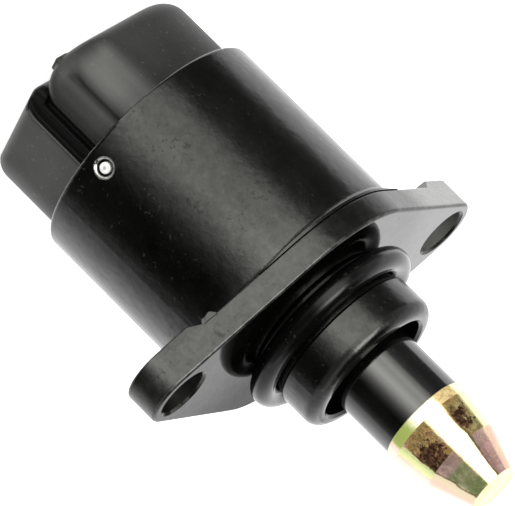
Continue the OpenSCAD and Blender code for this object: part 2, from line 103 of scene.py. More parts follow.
# ---------------------------------------------------------------- node helpers
class Tree:
    """small helper that builds a node material"""

    def __init__(self, name):
        self.mat = bpy.data.materials.new(name)
        self.mat.use_nodes = True
        self.t = self.mat.node_tree
        self.t.nodes.clear()
        self.out = self.t.nodes.new("ShaderNodeOutputMaterial")
        self.b = self.t.nodes.new("ShaderNodeBsdfPrincipled")
        self.t.links.new(self.b.outputs[0], self.out.inputs["Surface"])
        self.co = self.t.nodes.new("ShaderNodeTexCoord").outputs["Object"]

    def link(self, src, dst):
        self.t.links.new(src, dst)

    def set(self, **kw):
        names = {"rough": "Roughness", "metal": "Metallic", "spec": "Specular IOR Level", "ior": "IOR",
                 "coat": "Coat Weight", "coat_rough": "Coat Roughness", "color": "Base Color", "sheen": "Sheen Weight",
                 "film": "Thin Film Thickness", "film_ior": "Thin Film IOR", "aniso": "Anisotropic"}
        for k, v in kw.items():
            s = self.b.inputs[names[k]]
            if hasattr(v, "is_output") or isinstance(v, bpy.types.NodeSocket):
                self.link(v, s)
            elif k == "color":
                s.default_value = (v[0], v[1], v[2], 1.0)
            else:
                s.default_value = v

    def math(self, op, x, y=0.0, clamp=False, z=None):
        n = self.t.nodes.new("ShaderNodeMath")
        n.operation = op
        n.use_clamp = clamp
        for i, v in enumerate((x, y) if z is None else (x, y, z)):
            if isinstance(v, bpy.types.NodeSocket):
                self.link(v, n.inputs[i])
            else:
                n.inputs[i].default_value = v
        return n.outputs[0]

    def noise(self, scale, detail=4.0, rough=0.55, vec=None, dist=0.0, lac=2.0):
        n = self.t.nodes.new("ShaderNodeTexNoise")
        n.inputs["Scale"].default_value = scale
        n.inputs["Detail"].default_value = detail
        n.inputs["Roughness"].default_value = rough
        n.inputs["Distortion"].default_value = dist
        n.inputs["Lacunarity"].default_value = lac
        self.link(vec or self.co, n.inputs["Vector"])
        return n.outputs["Fac"]

    def voronoi(self, scale, vec=None, feature="F1", rnd=1.0):
        n = self.t.nodes.new("ShaderNodeTexVoronoi")
        n.feature = feature
        n.inputs["Scale"].default_value = scale
        n.inputs["Randomness"].default_value = rnd
        self.link(vec or self.co, n.inputs["Vector"])
        return n.outputs["Distance"]

    def ramp(self, fac, stops, interp="LINEAR"):
        n = self.t.nodes.new("ShaderNodeValToRGB")
        n.color_ramp.interpolation = interp
        el = n.color_ramp.elements
        while len(el) > 1:
            el.remove(el[-1])
        first = True
        for pos, c in stops:
            c = (c, c, c) if not isinstance(c, (tuple, list)) else c
            e = el[0] if first else el.new(pos)
            e.position = pos
            e.color = (c[0], c[1], c[2], 1.0)
            first = False
        self.link(fac, n.inputs["Fac"])
        return n.outputs["Color"]

    def mix(self, fac, x, y, blend="MIX"):
        n = self.t.nodes.new("ShaderNodeMix")
        n.data_type = "RGBA"
        n.blend_type = blend
        ins = [s for s in n.inputs if s.enabled]
        f, A, B = n.inputs[0], n.inputs[6], n.inputs[7]
        for s, v in ((f, fac), (A, x), (B, y)):
            if isinstance(v, bpy.types.NodeSocket):
                self.link(v, s)
            elif s is f:
                s.default_value = v
            else:
                v = (v, v, v) if not isinstance(v, (tuple, list)) else v
                s.default_value = (v[0], v[1], v[2], 1.0)
        return n.outputs[2]

    def smooth(self, v, lo, hi, out0=0.0, out1=1.0):
        n = self.t.nodes.new("ShaderNodeMapRange")
        n.interpolation_type = "SMOOTHSTEP"
        self.link(v, n.inputs["Value"])
        n.inputs["From Min"].default_value = lo
        n.inputs["From Max"].default_value = hi
        n.inputs["To Min"].default_value = out0
        n.inputs["To Max"].default_value = out1
        return n.outputs["Result"]

    def xyz(self):
        n = self.t.nodes.new("ShaderNodeSeparateXYZ")
        self.link(self.co, n.inputs[0])
        return n.outputs

    def normal(self):
        g = self.t.nodes.new("ShaderNodeNewGeometry")
        n = self.t.nodes.new("ShaderNodeSeparateXYZ")
        self.link(g.outputs["Normal"], n.inputs[0])
        return n.outputs

    def bump(self, *layers):
        """layers of (height socket, distance in metres, strength)"""
        prev = None
        for h, d, s in layers:
            n = self.t.nodes.new("ShaderNodeBump")
            n.inputs["Strength"].default_value = s
            n.inputs["Distance"].default_value = d
            self.link(h, n.inputs["Height"])
            if prev is not None:
                self.link(prev, n.inputs["Normal"])
            prev = n.outputs["Normal"]
        self.link(prev, self.b.inputs["Normal"])

    def stretch(self, sx, sy, sz):
        n = self.t.nodes.new("ShaderNodeMapping")
        n.inputs["Scale"].default_value = (sx, sy, sz)
        self.link(self.co, n.inputs["Vector"])
        return n.outputs["Vector"]

    def dist_axis(self, px, py):
        """distance from a line parallel to Z through px, py"""
        x, y, z = self.xyz()
        dx = self.math("SUBTRACT", x, px)
        dy = self.math("SUBTRACT", y, py)
        return self.math("SQRT", self.math("ADD", self.math("MULTIPLY", dx, dx), self.math("MULTIPLY", dy, dy)))


# ---------------------------------------------------------------- materials
def mat_cast():
    """glossy black coat over a casting: cloudy and pitted can, smoother flange sides, bare metal only in the pin seats"""
    m = Tree("cast_black")
    x, y, z = m.xyz()
    nx, ny, nz = m.normal()
    r0 = m.dist_axis(0, 0)
    cloud = m.noise(75, 5, 0.6)
    blot = m.noise(330, 4, 0.6, dist=0.3)
    mid = m.noise(620, 5, 0.65)
    fine = m.noise(2600, 3, 0.6)
    speck = m.smooth(m.noise(1500, 2, 0.5), 0.665, 0.715)
    pit = m.math("MULTIPLY", m.smooth(m.noise(1500, 3, 0.6), 0.57, 0.66), m.math("MULTIPLY", m.smooth(m.noise(130, 2, 0.5), 0.44, 0.60), m.smooth(z, 0.0005, 0.0)))
    mott = m.noise(1150, 4, 0.7)
    base = m.mix(m.smooth(cloud, 0.35, 0.65), (0.0005, 0.0005, 0.0003), (0.0020, 0.0020, 0.0016))
    base = m.mix(m.math("MULTIPLY", speck, 0.35), base, (0.030, 0.030, 0.027))
    rough = m.math("ADD", m.math("MULTIPLY", cloud, 0.12), 0.07)
    rough = m.math("ADD", rough, m.math("MULTIPLY", blot, 0.10))
    rough = m.math("ADD", rough, m.math("MULTIPLY", mid, 0.06))
    # the machined faces at the front are smoother
    flat = m.smooth(nz, 0.90, 0.99)
    rough = m.math("MULTIPLY", rough, m.math("SUBTRACT", 1.0, m.math("MULTIPLY", flat, 0.70)))
    # flange's cast sides
    side = m.math("MULTIPLY", m.smooth(z, -0.0062, -0.0036), m.smooth(z, -0.00005, -0.00035))
    side = m.math("MULTIPLY", side, m.smooth(r0, 0.0160, 0.0163))
    side = m.math("MULTIPLY", side, m.smooth(m.math("ABSOLUTE", nz), 0.75, 0.45))
    grain = m.noise(700, 5, 0.65)
    # a ragged darker strip along the near ear's side, at its rear edge
    px = m.math("MULTIPLY", m.smooth(x, 0.0212, 0.0222), m.smooth(x, 0.0272, 0.0262))
    rag = m.math("MULTIPLY", px, m.math("MULTIPLY", m.smooth(y, 0.0, -0.001),
                 m.smooth(m.math("ADD", z, m.math("MULTIPLY", m.noise(700, 4, 0.6), 0.0016)), -0.00285, -0.00305)))
    side = m.math("MULTIPLY", side, m.math("SUBTRACT", 1.0, m.math("MULTIPLY", rag, 0.92)))
    castc = m.ramp(grain, [(0.30, (0.003, 0.003, 0.0025)), (0.5, (0.006, 0.006, 0.0055)), (0.72, (0.014, 0.014, 0.013))])
    base = m.mix(m.math("MULTIPLY", side, 0.9), base, castc)
    # duller coat where the side turns round the shoulder; painted highlight on the far ear's side, whose base is
    # painted paler
    dim = m.math("MULTIPLY", side, m.math("MULTIPLY", m.smooth(x, 0.0058, 0.0040), m.smooth(x, -0.0090, -0.0050)))
    base = m.mix(m.math("MULTIPLY", dim, 0.5), base, (0.001, 0.001, 0.001))
    # painted highlight: the far ear's side is painted paler
    pale = m.math("MULTIPLY", side, m.smooth(x, -0.0120, -0.0190))
    base = m.mix(m.math("MULTIPLY", pale, m.math("ADD", 0.30, m.math("MULTIPLY", grain, 0.5))), base, (0.13, 0.13, 0.127))
    rough = m.math("ADD", rough, m.math("MULTIPLY", side, 0.07))
    # inside the mounting holes the coat is thin and dull
    hole = None
    for sx in (-1, 1):
        h = m.math("LESS_THAN", m.dist_axis(sx * HOLE_X * MM, 0), 0.00343)
        hole = h if hole is None else m.math("MAXIMUM", hole, h)
    bare = None
    for i in range(3):
        ang = math.radians(-26.7 + 120 * i)
        dx, dy = math.cos(ang), math.sin(ang)
        # distance from the pin's axis, which runs out along (dx, dy)
        s1 = m.math("SUBTRACT", m.math("MULTIPLY", y, dx), m.math("MULTIPLY", x, dy))
        along = m.math("ADD", m.math("MULTIPLY", x, dx), m.math("MULTIPLY", y, dy))
        s2 = m.math("ADD", z, 0.0275)
        d = m.math("SQRT", m.math("ADD", m.math("MULTIPLY", s1, s1), m.math("MULTIPLY", s2, s2)))
        ring = m.math("MULTIPLY", m.smooth(d, 0.00146, 0.00141), m.smooth(d, 0.00108, 0.00114))
        ring = m.math("MULTIPLY", ring, m.math("GREATER_THAN", along, 0.0150))
        bare = ring if bare is None else m.math("MAXIMUM", bare, ring)
    # the rolled rear lip and the flange's edges are lightened in places: partly rubbed wear, partly a painted highlight
    # along the rear lip
    worn = m.smooth(m.noise(420, 5, 0.65), 0.46, 0.60)
    lip = m.math("MULTIPLY", m.smooth(z, -0.03012, -0.03030), m.smooth(r0, 0.0161, 0.0164))
    edge = m.math("MULTIPLY", m.smooth(m.math("ABSOLUTE", m.math("ADD", z, 0.00016)), 0.00022, 0.00010), m.smooth(r0, 0.0160, 0.0166))
    edge = m.math("MULTIPLY", edge, m.math("MULTIPLY", m.smooth(nz, 0.97, 0.85), worn))
    wear_and_highlight = m.math("MAXIMUM", m.math("MULTIPLY", m.math("MULTIPLY", lip, worn), 0.32), m.math("MULTIPLY", edge, 0.12))
    scuff = m.noise(300, 6, 0.65)
    metal = m.mix(m.smooth(scuff, 0.3, 0.7), (0.36, 0.36, 0.35), (0.58, 0.58, 0.57))
    # partly wear, partly a painted highlight on the rear lip
    base = m.mix(wear_and_highlight, base, (0.28, 0.28, 0.27))
    base = m.mix(bare, base, metal)
    rough = m.math("ADD", m.math("MULTIPLY", rough, m.math("SUBTRACT", 1.0, bare)), m.math("MULTIPLY", bare, m.math("ADD", 0.14, m.math("MULTIPLY", scuff, 0.14))))
    rough = m.math("ADD", rough, m.math("MULTIPLY", hole, 0.30))
    spec = m.math("ADD", 0.5, m.math("MULTIPLY", side, 0.08))
    wall = m.math("MULTIPLY", m.smooth(r0, 0.0169, 0.0167), m.smooth(z, -0.0030, -0.0036))
    wall = m.math("MULTIPLY", wall, m.smooth(z, -0.0045, -0.0150))
    spec = m.math("MULTIPLY", spec, m.math("SUBTRACT", 1.0, m.math("MULTIPLY", wall, 0.20)))
    gain = m.math("MAXIMUM", m.math("MULTIPLY", flat, 1.3), m.math("MULTIPLY", side, 2.2))
    spec = m.math("MULTIPLY", spec, m.math("ADD", 1.0, m.math("MULTIPLY", gain, m.smooth(x, -0.012, -0.021))))
    spec = m.math("MULTIPLY", spec, m.math("SUBTRACT", 1.0, m.math("MULTIPLY", dim, 0.5)))
    # the near ear's face is duller, most of all towards its far edge
    pw = m.math("SUBTRACT", m.math("MULTIPLY", x, 0.687), m.math("MULTIPLY", y, 0.727))
    pu = m.math("ADD", m.math("MULTIPLY", x, 0.727), m.math("MULTIPLY", y, 0.687))
    ear = m.math("MULTIPLY", m.math("MULTIPLY", flat, m.smooth(pu, 0.0060, 0.0095)), m.smooth(z, -0.0006, -0.0003))
    keep_k = m.math("ADD", 0.05, m.math("MULTIPLY", m.smooth(pw, -0.0040, 0.0200), 0.17))
    spec = m.math("MULTIPLY", spec, m.math("SUBTRACT", 1.0, m.math("MULTIPLY", ear, m.math("SUBTRACT", 1.0, keep_k))))
    spec = m.math("MULTIPLY", spec, m.math("ADD", 0.72, m.math("MULTIPLY", blot, 0.56)))
    spec = m.math("MULTIPLY", spec, m.math("ADD", 0.58, m.math("MULTIPLY", mott, 0.84)))
    spec = m.math("MULTIPLY", spec, m.math("SUBTRACT", 1.0, m.math("MULTIPLY", pit, 0.45)))
    spec = m.math("MULTIPLY", spec, m.math("SUBTRACT", 1.0, m.math("MULTIPLY", hole, 0.80)))
    m.set(color=base, rough=rough, metal=bare, spec=spec)
    keep = m.math("MULTIPLY", m.math("SUBTRACT", 1.0, bare), m.math("SUBTRACT", 1.0, m.math("MULTIPLY", flat, 0.93)))
    m.bump((m.math("MULTIPLY", m.noise(190, 3, 0.5), keep), 0.00025, 0.26),
           (m.math("MULTIPLY", blot, keep), 0.00018, 0.32),
           (m.math("MULTIPLY", mid, keep), 0.00005, 0.40),
           (m.math("MULTIPLY", fine, keep), 0.000015, 0.5),
           (m.math("MULTIPLY", grain, side), 0.00006, 0.45))
    return m.mat


def mat_rubber(name, c=(0.0015, 0.0015, 0.0015), rough=0.12, spec=0.34):
    m = Tree(name)
    n = m.noise(420, 5, 0.6)
    dust = m.smooth(m.noise(1900, 2, 0.5), 0.66, 0.74)
    m.set(color=m.mix(m.math("MULTIPLY", dust, 0.25), m.mix(n, c, tuple(v * 2.2 for v in c)), (0.11, 0.11, 0.105)),
          rough=m.math("ADD", rough, m.math("MULTIPLY", n, 0.14)), spec=spec)
    m.bump((m.noise(1300, 4, 0.6), 0.00003, 0.3))
    return m.mat


def mat_nose_ring():
    """black rubber: dull where it is dry, glossy where grease is left at its two sides and in one short smear"""
    m = Tree("ring_rubber")
    lo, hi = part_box("nose_o_ring")
    x, y, z = m.xyz()
    n = m.noise(420, 5, 0.6)
    pu = m.math("ADD", m.math("MULTIPLY", x, U.x), m.math("MULTIPLY", y, U.y))
    pu = m.math("ADD", pu, m.math("MULTIPLY", m.math("SUBTRACT", n, 0.5), 0.004))
    ends = m.smooth(m.math("ABSOLUTE", pu), 0.0045, 0.0085)
    smear = m.math("MULTIPLY", m.smooth(m.math("ABSOLUTE", m.math("SUBTRACT", pu, 0.0033)), 0.0034, 0.0002), 0.22)
    right = m.math("MULTIPLY", m.smooth(pu, 0.0065, 0.0100), 0.35)
    spec = m.math("ADD", 0.045, m.math("ADD", m.math("MULTIPLY", ends, 0.28), m.math("ADD", smear, right)))
    mid = (lo[2] + hi[2]) / 2
    spec = m.math("MULTIPLY", spec, m.math("ADD", 0.15, m.math("MULTIPLY", m.smooth(z, mid - 0.0007, mid + 0.0002), 0.85)))
    dust = m.smooth(m.noise(1900, 2, 0.5), 0.66, 0.74)
    m.set(color=m.mix(m.math("MULTIPLY", dust, 0.2), m.mix(n, (0.0012, 0.0012, 0.0012), (0.003, 0.003, 0.003)), (0.09, 0.09, 0.085)),
          rough=m.math("ADD", 0.10, m.math("MULTIPLY", n, 0.14)), spec=spec)
    m.bump((m.noise(1300, 4, 0.6), 0.00003, 0.35))
    return m.mat


def mat_plastic(name, c, rough=0.42, grain=0.00004, spec=0.5):
    m = Tree(name)
    n = m.noise(140, 5, 0.6)
    f = m.noise(3200, 3, 0.6)
    lo = tuple(v * 0.82 for v in c)
    hi = tuple(min(1.0, v * 1.18) for v in c)
    m.set(color=m.mix(m.smooth(n, 0.3, 0.7), lo, hi),
          rough=m.math("ADD", m.math("ADD", rough, m.math("MULTIPLY", n, 0.1)), m.math("MULTIPLY", f, 0.08)), spec=spec)
    m.bump((f, grain, 0.6), (m.noise(500, 4, 0.6), grain, 0.35))
    return m.mat


def mat_cap():
    """moulded black plastic: even satin skin; painted shade in the guide channel, in the recess's left corner, on the
    flank beside it and in the socket; a painted highlight in the thumb recess
    """
    m = Tree("cap_plastic")
    x, y, z = m.xyz()
    n = m.noise(110, 5, 0.6)
    f = m.noise(2800, 3, 0.6)
    speck = m.smooth(m.noise(1900, 2, 0.5), 0.67, 0.72)
    c = m.mix(m.smooth(n, 0.3, 0.7), (0.028, 0.030, 0.029), (0.041, 0.043, 0.041))
    c = m.mix(m.math("MULTIPLY", speck, 0.35), c, (0.15, 0.15, 0.145))
    # painted shade in the guide channel beside the thick side
    g = m.math("MULTIPLY", m.smooth(x, 0.01300, 0.01280), m.smooth(x, 0.0105, 0.0110))
    g = m.math("MULTIPLY", g, m.math("MULTIPLY", m.smooth(y, -0.0024, -0.0029), m.smooth(y, -0.0080, -0.0074)))
    g = m.math("MULTIPLY", g, m.smooth(z, -0.0422, -0.0416))
    c = m.mix(m.math("MULTIPLY", g, 0.95), c, (0.003, 0.003, 0.003))
    # painted highlight: the thumb recess is painted paler; painted shade in its left corner
    dx, dy = m.math("SUBTRACT", x, 0.00914), m.math("ADD", y, 0.01527)
    cr = m.math("SQRT", m.math("ADD", m.math("MULTIPLY", dx, dx), m.math("MULTIPLY", dy, dy)))
    low = m.smooth(z, -0.0412, -0.0385)
    dish = m.math("MULTIPLY", m.math("MULTIPLY", m.smooth(cr, 0.0066, 0.0048), low), m.smooth(x, 0.0104, 0.0082))
    c = m.mix(m.math("MULTIPLY", dish, m.math("ADD", 0.34, m.math("MULTIPLY", n, 0.45))), c, (0.086, 0.088, 0.085))
    # painted shade along the crease in the recess's left corner
    cx, cy = m.math("SUBTRACT", x, 0.01064), m.math("ADD", y, 0.01071)
    cd = m.math("SQRT", m.math("ADD", m.math("MULTIPLY", cx, cx), m.math("MULTIPLY", cy, cy)))
    recess_corner_shade = m.math("MULTIPLY", m.smooth(cd, 0.0011, 0.0003), m.smooth(z, -0.0405, -0.0385))
    c = m.mix(m.math("MULTIPLY", recess_corner_shade, 0.85), c, (0.005, 0.005, 0.005))
    # painted shade: the flank left of the recess is painted darker
    flank_shade = m.math("MULTIPLY", m.smooth(x, 0.0099, 0.0112), m.smooth(y, -0.0060, -0.0066))
    flank_shade = m.math("MULTIPLY", flank_shade, m.smooth(z, -0.0412, -0.0385))
    c = m.mix(m.math("MULTIPLY", flank_shade, 0.72), c, (0.010, 0.010, 0.010))
    # the thick side's skin is darker away from the recess
    thick = m.math("MULTIPLY", m.smooth(y, -0.0068, -0.0076), m.math("SUBTRACT", 1.0, m.math("MAXIMUM", dish, flank_shade)))
    c = m.mix(m.math("MULTIPLY", thick, 0.45), c, (0.002, 0.002, 0.002))
    shade = m.math("MAXIMUM", m.math("MULTIPLY", g, 0.85), m.math("MULTIPLY", recess_corner_shade, 0.6))
    shade = m.math("MAXIMUM", shade, m.math("MULTIPLY", thick, 0.42))
    shade = m.math("MAXIMUM", shade, m.math("MULTIPLY", flank_shade, 0.30))
    # painted shade: the socket's inside is painted darker
    r = m.math("MULTIPLY", m.smooth(m.math("ABSOLUTE", x), 0.0100, 0.0095), m.smooth(m.math("ABSOLUTE", y), 0.0051, 0.0046))
    c = m.mix(m.math("MULTIPLY", r, 0.4), c, (0.012, 0.012, 0.012))
    m.set(color=c, rough=m.math("ADD", m.math("ADD", 0.36, m.math("MULTIPLY", n, 0.10)), m.math("MULTIPLY", f, 0.08)),
          spec=m.math("MULTIPLY", m.math("SUBTRACT", 1.0, shade), 0.38))
    m.bump((f, 0.00003, 0.6), (m.noise(700, 4, 0.6), 0.00005, 0.45))
    return m.mat


def mat_metal(name, lo, hi, rough=0.24, turned=None, scale=260):
    """bare or plated metal; turned draws fine rings about the axis"""
    m = Tree(name)
    n = m.noise(scale, 6, 0.62)
    c = m.mix(m.smooth(n, 0.3, 0.7), lo, hi)
    m.set(color=c, metal=1.0, rough=m.math("ADD", rough, m.math("MULTIPLY", m.noise(900, 4, 0.6), 0.16)))
    if turned:
        x, y, z = m.xyz()
        h = m.noise(turned, 4, 0.6, vec=m.stretch(0.02, 0.02, 1.0))
        m.bump((h, 0.00002, 0.6), (m.noise(1800, 3, 0.6), 0.00001, 0.3))
    else:
        m.bump((m.noise(1400, 4, 0.6), 0.00002, 0.35))
    return m.mat


def mat_pin():
    """upset end of the pin: pale, frosted by the press tool, with painted shade at its centre standing in for a small
    dimple
    """
    m = Tree("pin_steel")
    x, y, z = m.xyz()
    n = m.noise(900, 4, 0.6)
    # painted shade at the centre of each pin's end, for a dimple
    pin_centre_shade = None
    for i in range(3):
        ang = math.radians(-26.7 + 120 * i)
        dx, dy = math.cos(ang), math.sin(ang)
        s1 = m.math("SUBTRACT", m.math("MULTIPLY", y, dx), m.math("MULTIPLY", x, dy))
        along = m.math("ADD", m.math("MULTIPLY", x, dx), m.math("MULTIPLY", y, dy))
        s2 = m.math("ADD", z, 0.0275)
        d = m.math("SQRT", m.math("ADD", m.math("MULTIPLY", s1, s1), m.math("MULTIPLY", s2, s2)))
        k = m.math("MULTIPLY", m.smooth(d, 0.00032, 0.00008), m.math("GREATER_THAN", along, 0.0150))
        pin_centre_shade = k if pin_centre_shade is None else m.math("MAXIMUM", pin_centre_shade, k)
    col = m.mix(m.smooth(n, 0.3, 0.7), (0.56, 0.56, 0.55), (0.74, 0.74, 0.73))
    col = m.mix(m.math("MULTIPLY", pin_centre_shade, 0.75), col, (0.16, 0.16, 0.16))
    m.set(color=col, metal=0.25, rough=m.math("ADD", 0.40, m.math("MULTIPLY", n, 0.2)), spec=0.6)
    m.bump((n, 0.00003, 0.4))
    return m.mat


def mat_sleeve():
    m = Tree("sleeve_black")
    cloud = m.noise(160, 5, 0.6)
    fine = m.noise(2600, 3, 0.6)
    speck = m.smooth(m.noise(2100, 2, 0.5), 0.66, 0.72)
    base = m.mix(m.smooth(cloud, 0.35, 0.65), (0.0012, 0.0012, 0.0012), (0.0034, 0.0034, 0.0030))
    base = m.mix(m.math("MULTIPLY", speck, 0.25), base, (0.04, 0.04, 0.037))
    m.set(color=base, rough=m.math("ADD", m.math("MULTIPLY", cloud, 0.05), 0.045), spec=0.9)
    rings = m.noise(3000, 3, 0.6, vec=m.stretch(0.02, 0.02, 1.0))
    m.bump((fine, 0.00002, 0.35), (rings, 0.000006, 0.4))
    return m.mat


def mat_cone():
    """yellow chromate over zinc: pale film with gold, olive, rose and brown-black patches"""
    m = Tree("cone_chromate")
    x, y, z = m.xyz()
    big = m.noise(120, 3, 0.5, dist=0.8)
    mid = m.noise(340, 5, 0.65, dist=0.5)
    spots = m.noise(1250, 5, 0.8, dist=0.5)
    hue = m.math("ADD", m.math("MULTIPLY", big, 0.55), m.math("MULTIPLY", mid, 0.45))
    # place round the cone, in degrees from the side that carries the patches
    pu = m.math("ADD", m.math("MULTIPLY", x, U.x), m.math("MULTIPLY", y, U.y))
    pw = m.math("ADD", m.math("MULTIPLY", x, W.x), m.math("MULTIPLY", y, W.y))
    rnd = m.math("MULTIPLY", m.math("ARCTAN2", pu, pw), 180.0 / math.pi)
    rag = m.math("ADD", rnd, m.math("MULTIPLY", m.math("SUBTRACT", mid, 0.5), 14.0))
    left = m.smooth(rnd, 12.0, 8.0)
    patch = m.math("MAXIMUM", m.math("MULTIPLY", m.smooth(rag, -43.0, -40.0), m.smooth(rag, -1.0, -4.0)),
                   m.math("MULTIPLY", m.smooth(rag, 25.0, 28.0), m.smooth(rag, 55.0, 51.0)))
    # long rear taper
    rear = m.ramp(hue, [
        (0.38, (0.70, 0.66, 0.28)),
        (0.44, (0.92, 0.74, 0.32)),
        (0.50, (0.96, 0.66, 0.27)),
        (0.56, (0.92, 0.56, 0.28)),
        (0.62, (0.96, 0.74, 0.56)),
    ])
    # short front taper: rose, and green towards its end on one side
    green = m.math("MULTIPLY", left, m.smooth(m.math("ADD", z, m.math("MULTIPLY", m.math("SUBTRACT", mid, 0.5), 0.003)), 0.0266, 0.0278))
    front = m.mix(green, m.mix(m.smooth(hue, 0.4, 0.6), (1.0, 0.72, 0.64), (0.98, 0.60, 0.54)),
                  m.mix(m.smooth(mid, 0.4, 0.6), (0.50, 0.60, 0.25), (0.78, 0.76, 0.46)))
    tip = m.smooth(z, CONE_Z1 - 0.00004, CONE_Z1 + 0.00004)
    col = m.mix(tip, rear, front)
    # grain of the film inside the patches: darker threads and a few pale flecks
    thread = m.smooth(m.noise(1300, 5, 0.75, dist=1.2), 0.44, 0.60)
    col = m.mix(m.math("MULTIPLY", m.math("SUBTRACT", 1.0, thread), m.math("SUBTRACT", 0.55, m.math("MULTIPLY", tip, 0.22))), col, (0.34, 0.24, 0.13), "MULTIPLY")
    col = m.mix(m.math("MULTIPLY", m.smooth(m.noise(1700, 3, 0.6, dist=0.6), 0.60, 0.68), 0.55), col, (0.98, 0.90, 0.74))
    # outside the patches the film is thin and pale
    pale = m.ramp(hue, [(0.40, (0.80, 0.86, 0.40)), (0.47, (0.92, 0.84, 0.46)), (0.53, (0.95, 0.74, 0.46)), (0.60, (0.93, 0.62, 0.50))])
    lp = m.mix(m.smooth(rag, -52.0, -62.0), (0.84, 0.90, 0.42), (0.90, 0.58, 0.48))
    lp = m.mix(m.math("MULTIPLY", tip, 0.75), lp, (0.96, 0.74, 0.58))
    pale = m.mix(m.smooth(rnd, -30.0, -36.0), pale, lp)
    col = m.mix(m.math("SUBTRACT", 1.0, patch), col, pale)
    # brown-black stains
    def near(px, py, pz, r0, r1):
        ex, ey, ez = m.math("SUBTRACT", x, px), m.math("SUBTRACT", y, py), m.math("SUBTRACT", z, pz)
        q = m.math("ADD", m.math("MULTIPLY", ex, ex), m.math("ADD", m.math("MULTIPLY", ey, ey), m.math("MULTIPLY", ez, ez)))
        return m.smooth(m.math("SQRT", q), r0, r1)
    blob = m.math("MAXIMUM", near(0.00525, -0.00160, 0.0249, 0.0031, 0.0010), near(0.00100, -0.00560, 0.0234, 0.0021, 0.0007))
    th = m.math("ADD", spots, m.math("MULTIPLY", blob, 0.172))
    brown = m.math("MULTIPLY", m.math("MULTIPLY", m.smooth(th, 0.555, 0.59), patch), m.math("SUBTRACT", 1.0, m.math("MULTIPLY", tip, 0.85)))
    brown = m.math("MULTIPLY", brown, m.smooth(z, 0.0205, 0.0222))
    col = m.mix(m.math("MULTIPLY", brown, 0.95), col, m.mix(m.smooth(m.noise(2300, 4, 0.7), 0.47, 0.58), (0.045, 0.016, 0.012), (0.30, 0.13, 0.08)))
    rim = m.math("MAXIMUM", m.smooth(m.math("ABSOLUTE", m.math("ADD", rag, 40.5)), 2.6, 1.0), m.smooth(m.math("ABSOLUTE", m.math("SUBTRACT", rag, 27.0)), 2.4, 0.8))
    rim = m.math("MULTIPLY", rim, m.smooth(z, 0.0215, 0.0225))
    col = m.mix(m.math("MULTIPLY", rim, 0.75), col, (0.13, 0.08, 0.04))
    # greenish land next to the sleeve
    land = m.smooth(z, 0.02080, 0.02072)
    lc = m.mix(m.smooth(rag, -22.0, -6.0), (0.44, 0.52, 0.14), (0.96, 0.90, 0.66))
    lc = m.mix(m.smooth(rag, -44.0, -52.0), lc, (0.90, 0.66, 0.54))
    lc = m.mix(m.smooth(rag, 22.0, 30.0), lc, m.mix(m.smooth(spots, 0.44, 0.60), (0.84, 0.62, 0.30), (0.44, 0.35, 0.16)))
    lc = m.mix(m.smooth(rag, 52.0, 58.0), lc, (0.92, 0.80, 0.46))
    col = m.mix(land, col, lc)
    # the turned edge at the very end is pale and dull
    end = m.smooth(z, CONE_Z2 - 0.00005, CONE_Z2 + 0.00005)
    col = m.mix(end, col, m.mix(m.smooth(hue, 0.42, 0.56), (0.88, 0.84, 0.44), (0.95, 0.86, 0.58)))
    metal = m.math("SUBTRACT", 0.96, m.math("MAXIMUM", m.math("MULTIPLY", end, 0.8), m.math("MULTIPLY", land, 0.55)))
    m.set(color=col, metal=metal, spec=0.8,
          rough=m.math("ADD", 0.045, m.math("ADD", m.math("MULTIPLY", spots, 0.06), m.math("MULTIPLY", end, 0.4))))
    m.bump((spots, 0.00003, 0.35), (m.noise(2600, 3, 0.6), 0.000012, 0.3))
    return m.mat


def mat_ferrite():
    m = Tree("ferrite")
    n = m.noise(800, 6, 0.7)
    m.set(color=m.ramp(n, [(0.3, (0.025, 0.025, 0.03)), (0.7, (0.07, 0.07, 0.078))]), rough=m.math("ADD", 0.4, m.math("MULTIPLY", n, 0.3)), metal=0.3)
    m.bump((n, 0.00005, 0.6))
    return m.mat


def mat_copper():
    m = Tree("enamelled_copper")
    n = m.noise(120, 4, 0.6)
    m.set(color=m.mix(n, (0.42, 0.13, 0.035), (0.62, 0.24, 0.07)), metal=0.85, rough=m.math("ADD", 0.2, m.math("MULTIPLY", n, 0.12)), coat=0.6)
    m.bump((m.noise(900, 3, 0.6), 0.00002, 0.3))
    return m.mat


